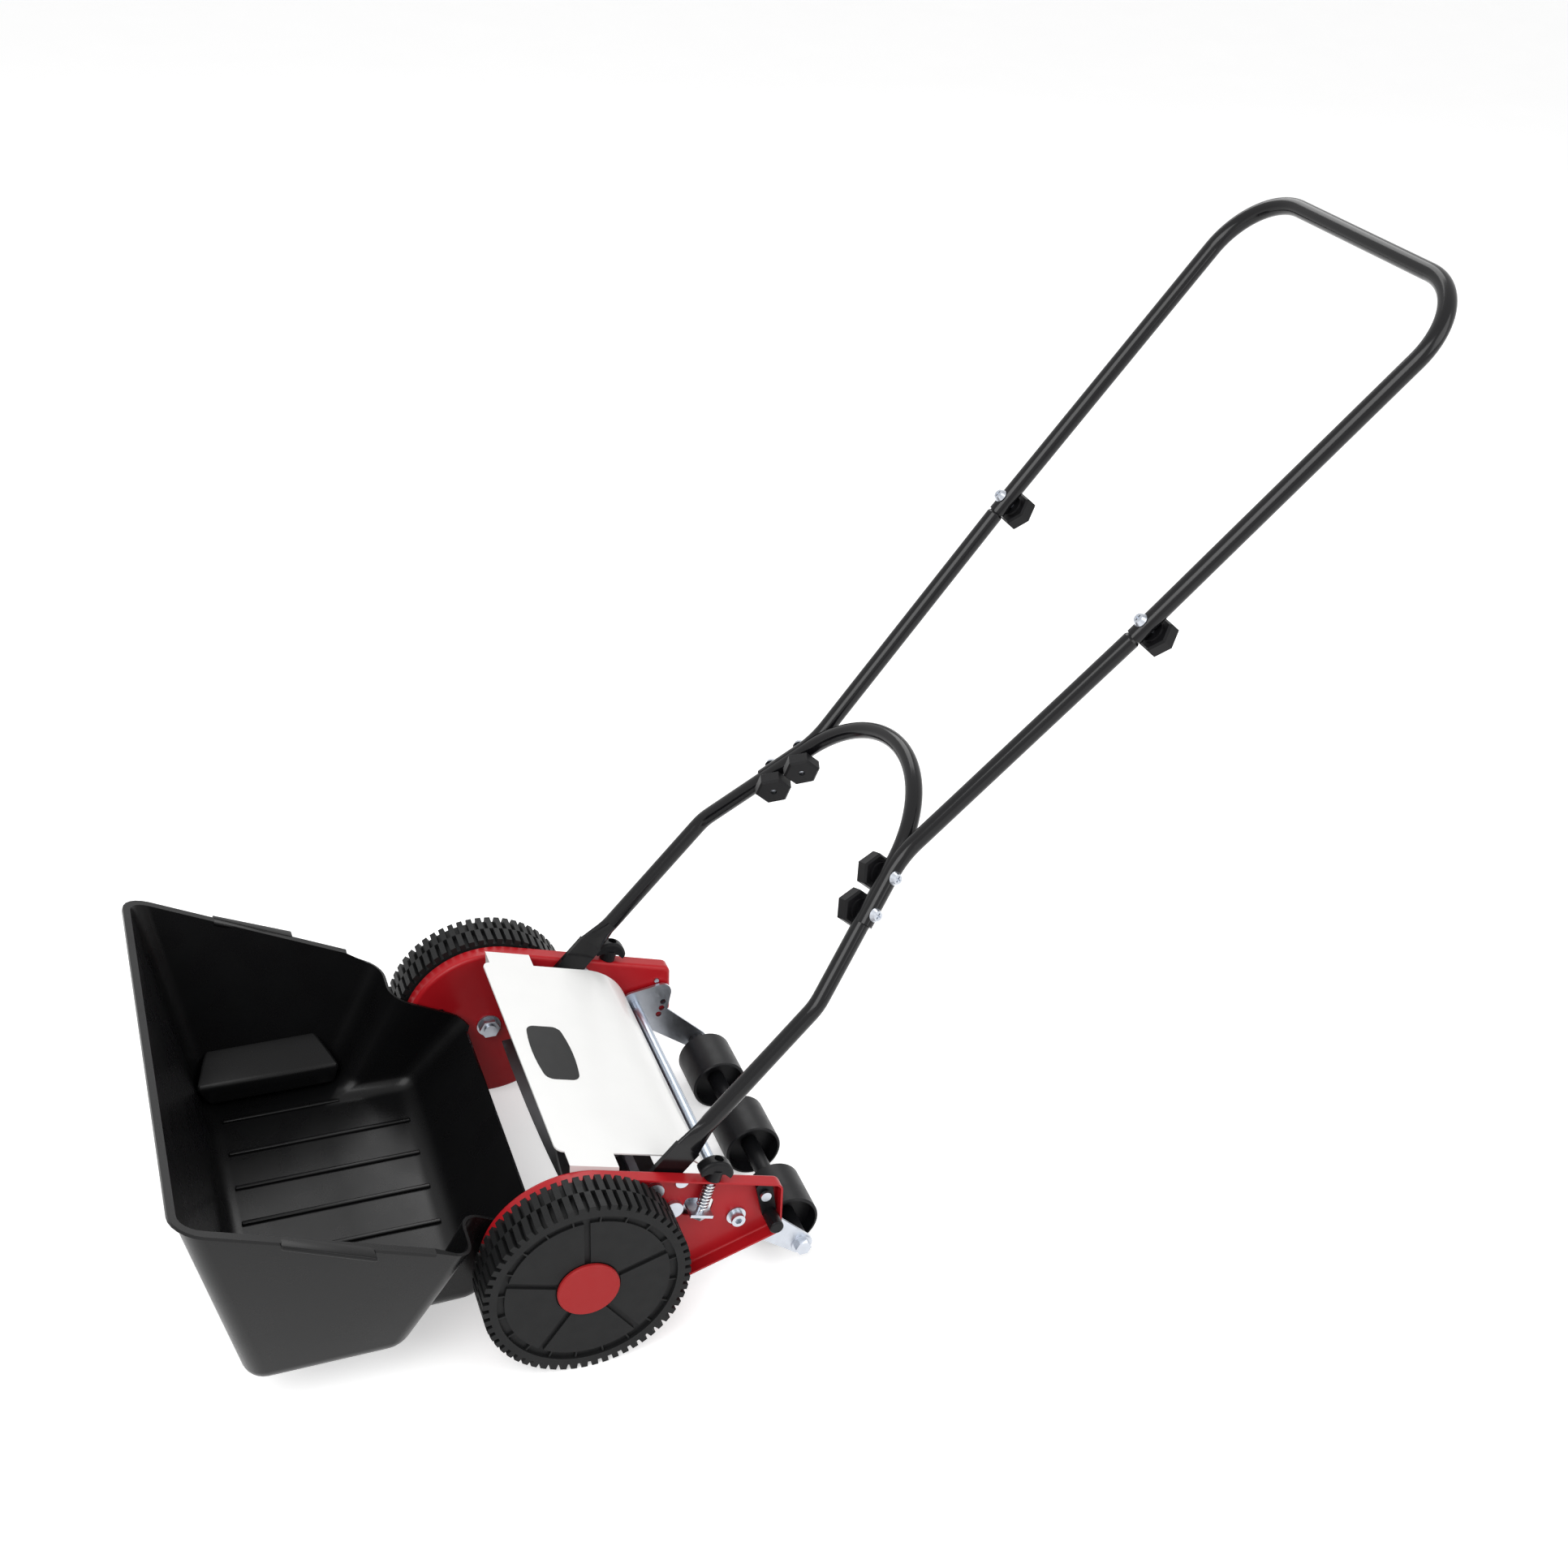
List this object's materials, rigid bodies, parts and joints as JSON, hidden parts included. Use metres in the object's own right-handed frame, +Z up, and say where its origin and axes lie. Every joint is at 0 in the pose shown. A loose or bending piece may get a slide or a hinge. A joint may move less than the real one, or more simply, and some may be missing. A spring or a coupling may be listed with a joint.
{
  "type": "push reel mower",
  "caption": "Hand-pushed reel mower with geared lugged wheels, a helical cutting reel and bed knife, rear roller, folding tube handle and lift-off grass catcher.",
  "frame": {"origin": "on the ground, below the middle of the mower's box", "axes": "+X to the operator's left, +Y to the rear (towards the operator), +Z up"},
  "size_m": [0.3942, 0.9037, 0.7392],
  "materials": {
    "red_paint": "gloss powder coat",
    "white_paint": "gloss white enamel",
    "black_plastic": "matt moulded",
    "red_plastic": "satin moulded",
    "black_paint": "gloss black",
    "knife_steel": "ground and blackened steel",
    "zinc": "bright zinc plate"
  },
  "bodies": {
    "chassis": {"side_plate_left": "red_paint", "side_plate_right": "red_paint", "tie_rod": "zinc", "tie_rod_bolts": "zinc", "wheel_axles": "zinc", "axle_nuts": "zinc", "axle_clips": "zinc", "reel_bearings": "black_plastic", "bed_knife_pivots": "zinc", "handle_pivot_bolts": "zinc", "handle_stop_pins": "zinc", "catcher_pins": "zinc", "lever_screws": "zinc", "top_cover": "white_paint", "cover_screws": "zinc", "adjusting_spring_left": "zinc", "adjusting_spring_right": "zinc"},
    "left_wheel": {"wheel_left": "black_plastic", "hub_cap_left": "red_plastic"},
    "right_wheel": {"wheel_right": "black_plastic", "hub_cap_right": "red_plastic"},
    "left_pinion": {"pinion_left": "knife_steel"},
    "right_pinion": {"pinion_right": "knife_steel"},
    "reel": {"reel_shaft": "knife_steel", "reel_blades": "knife_steel", "reel_spiders": "knife_steel", "drive_pawls": "knife_steel"},
    "knife_unit": {"bed_knife": "knife_steel", "bed_knife_carrier": "knife_steel", "knife_screws": "zinc", "adjusting_bolts": "zinc"},
    "left_wing_knob": {"wing_knob_left": "black_plastic"},
    "right_wing_knob": {"wing_knob_right": "black_plastic"},
    "roller_frame": {"roller_arm_left": "zinc", "roller_arm_right": "zinc", "roller_axle": "zinc", "roller_bolts": "zinc", "roller_spacers": "black_plastic"},
    "left_drum": {"roller_drum_left": "black_plastic"},
    "middle_drum": {"roller_drum_middle": "black_plastic"},
    "right_drum": {"roller_drum_right": "black_plastic"},
    "left_lever": {"height_lever_left": "black_plastic"},
    "right_lever": {"height_lever_right": "black_plastic"},
    "handle": {"lower_handle": "black_paint", "middle_tube_left": "black_paint", "middle_tube_right": "black_paint", "upper_handle": "black_paint", "middle_joint_bolts": "zinc", "upper_joint_bolts": "zinc"},
    "catcher_bin": {"catcher": "black_plastic"},
    "k_lower_knob_left": {"lower_knob_left": "black_plastic"},
    "k_lower_knob_right": {"lower_knob_right": "black_plastic"},
    "k_middle_knob_left": {"middle_knob_left": "black_plastic"},
    "k_middle_knob_right": {"middle_knob_right": "black_plastic"},
    "k_upper_knob_left": {"upper_knob_left": "black_plastic"},
    "k_upper_knob_right": {"upper_knob_right": "black_plastic"}
  },
  "joints": [
    {"name": "reel_spin", "type": "hinge", "parent": "chassis", "child": "reel", "pos_m": [0, -0.13275, 0.06801], "axis": [1, 0, 0], "continuous": true},
    {"name": "left_wheel_spin", "type": "hinge", "parent": "chassis", "child": "left_wheel", "pos_m": [0, -0.17805, 0.076], "axis": [1, 0, 0], "continuous": true},
    {"name": "right_wheel_spin", "type": "hinge", "parent": "chassis", "child": "right_wheel", "pos_m": [0, -0.17805, 0.076], "axis": [1, 0, 0], "continuous": true},
    {"name": "left_pinion_spin", "type": "hinge", "parent": "chassis", "child": "left_pinion", "pos_m": [0, -0.13275, 0.06801], "axis": [1, 0, 0], "continuous": true},
    {"name": "right_pinion_spin", "type": "hinge", "parent": "chassis", "child": "right_pinion", "pos_m": [0, -0.13275, 0.06801], "axis": [1, 0, 0], "continuous": true},
    {"name": "knife_tilt", "type": "hinge", "parent": "chassis", "child": "knife_unit", "pos_m": [0, -0.10205, 0.092], "axis": [1, 0, 0], "range_deg": [0, 0.4], "deforming": ["adjusting_spring_left", "adjusting_spring_right"]},
    {"name": "left_wing_knob_turn", "type": "hinge", "parent": "chassis", "child": "left_wing_knob", "pos_m": [0.1428, -0.0741, 0.11742], "axis": [0, -0.2924, -0.9563], "range_deg": [0, 49]},
    {"name": "right_wing_knob_turn", "type": "hinge", "parent": "chassis", "child": "right_wing_knob", "pos_m": [-0.1428, -0.0741, 0.11742], "axis": [0, -0.2924, -0.9563], "range_deg": [0, 49]},
    {"name": "roller_height", "type": "hinge", "parent": "chassis", "child": "roller_frame", "pos_m": [0, -0.05305, 0.0715], "axis": [1, 0, 0], "range_deg": [0, 30]},
    {"name": "left_drum_spin", "type": "hinge", "parent": "roller_frame", "child": "left_drum", "pos_m": [0, 0.00265, 0.023], "axis": [1, 0, 0], "continuous": true},
    {"name": "middle_drum_spin", "type": "hinge", "parent": "roller_frame", "child": "middle_drum", "pos_m": [0, 0.00265, 0.023], "axis": [1, 0, 0], "continuous": true},
    {"name": "right_drum_spin", "type": "hinge", "parent": "roller_frame", "child": "right_drum", "pos_m": [0, 0.00265, 0.023], "axis": [1, 0, 0], "continuous": true},
    {"name": "left_lever_pull", "type": "hinge", "parent": "chassis", "child": "left_lever", "pos_m": [0.1394, -0.03255, 0.099], "axis": [0, -1, 0], "range_deg": [0, 6], "stiffness_Nm_per_rad": 1.5, "springref_deg": -5.73},
    {"name": "right_lever_pull", "type": "hinge", "parent": "chassis", "child": "right_lever", "pos_m": [-0.1394, -0.03255, 0.099], "axis": [0, 1, 0], "range_deg": [0, 6], "stiffness_Nm_per_rad": 1.5, "springref_deg": -5.73},
    {"name": "handle_swing", "type": "hinge", "parent": "chassis", "child": "handle", "pos_m": [0, -0.11668, 0.11309], "axis": [1, 0, 0], "range_deg": [0, 60]},
    {"name": "lower_knob_left_turn", "type": "hinge", "parent": "handle", "child": "k_lower_knob_left", "pos_m": [0.10232, 0.05265, 0.29983], "axis": [0.9239, 0.2571, 0.2835], "continuous": true},
    {"name": "lower_knob_right_turn", "type": "hinge", "parent": "handle", "child": "k_lower_knob_right", "pos_m": [-0.10232, 0.05265, 0.29983], "axis": [-0.9239, 0.2571, 0.2835], "continuous": true},
    {"name": "middle_knob_left_turn", "type": "hinge", "parent": "handle", "child": "k_middle_knob_left", "pos_m": [0.09081, 0.07133, 0.32043], "axis": [0.9239, 0.2571, 0.2835], "continuous": true},
    {"name": "middle_knob_right_turn", "type": "hinge", "parent": "handle", "child": "k_middle_knob_right", "pos_m": [-0.09081, 0.07133, 0.32043], "axis": [-0.9239, 0.2571, 0.2835], "continuous": true},
    {"name": "upper_knob_left_turn", "type": "hinge", "parent": "handle", "child": "k_upper_knob_left", "pos_m": [0.11346, 0.24243, 0.50912], "axis": [0, -0.7408, 0.6717], "continuous": true},
    {"name": "upper_knob_right_turn", "type": "hinge", "parent": "handle", "child": "k_upper_knob_right", "pos_m": [-0.11346, 0.24243, 0.50912], "axis": [0, -0.7408, 0.6717], "continuous": true},
    {"name": "catcher_lift", "type": "slide", "parent": "chassis", "child": "catcher_bin", "axis": [0, 0, 1], "range_m": [0, 0.1]}
  ],
  "couplings": [
    {"joint": "left_wheel_spin", "follows": "reel_spin", "ratio": 0.2069},
    {"joint": "left_pinion_spin", "follows": "reel_spin", "ratio": 1},
    {"joint": "right_pinion_spin", "follows": "right_wheel_spin", "ratio": 4.8333},
    {"joint": "left_wing_knob_turn", "follows": "knife_tilt", "ratio": 121.26},
    {"joint": "right_wing_knob_turn", "follows": "knife_tilt", "ratio": 121.26}
  ]
}
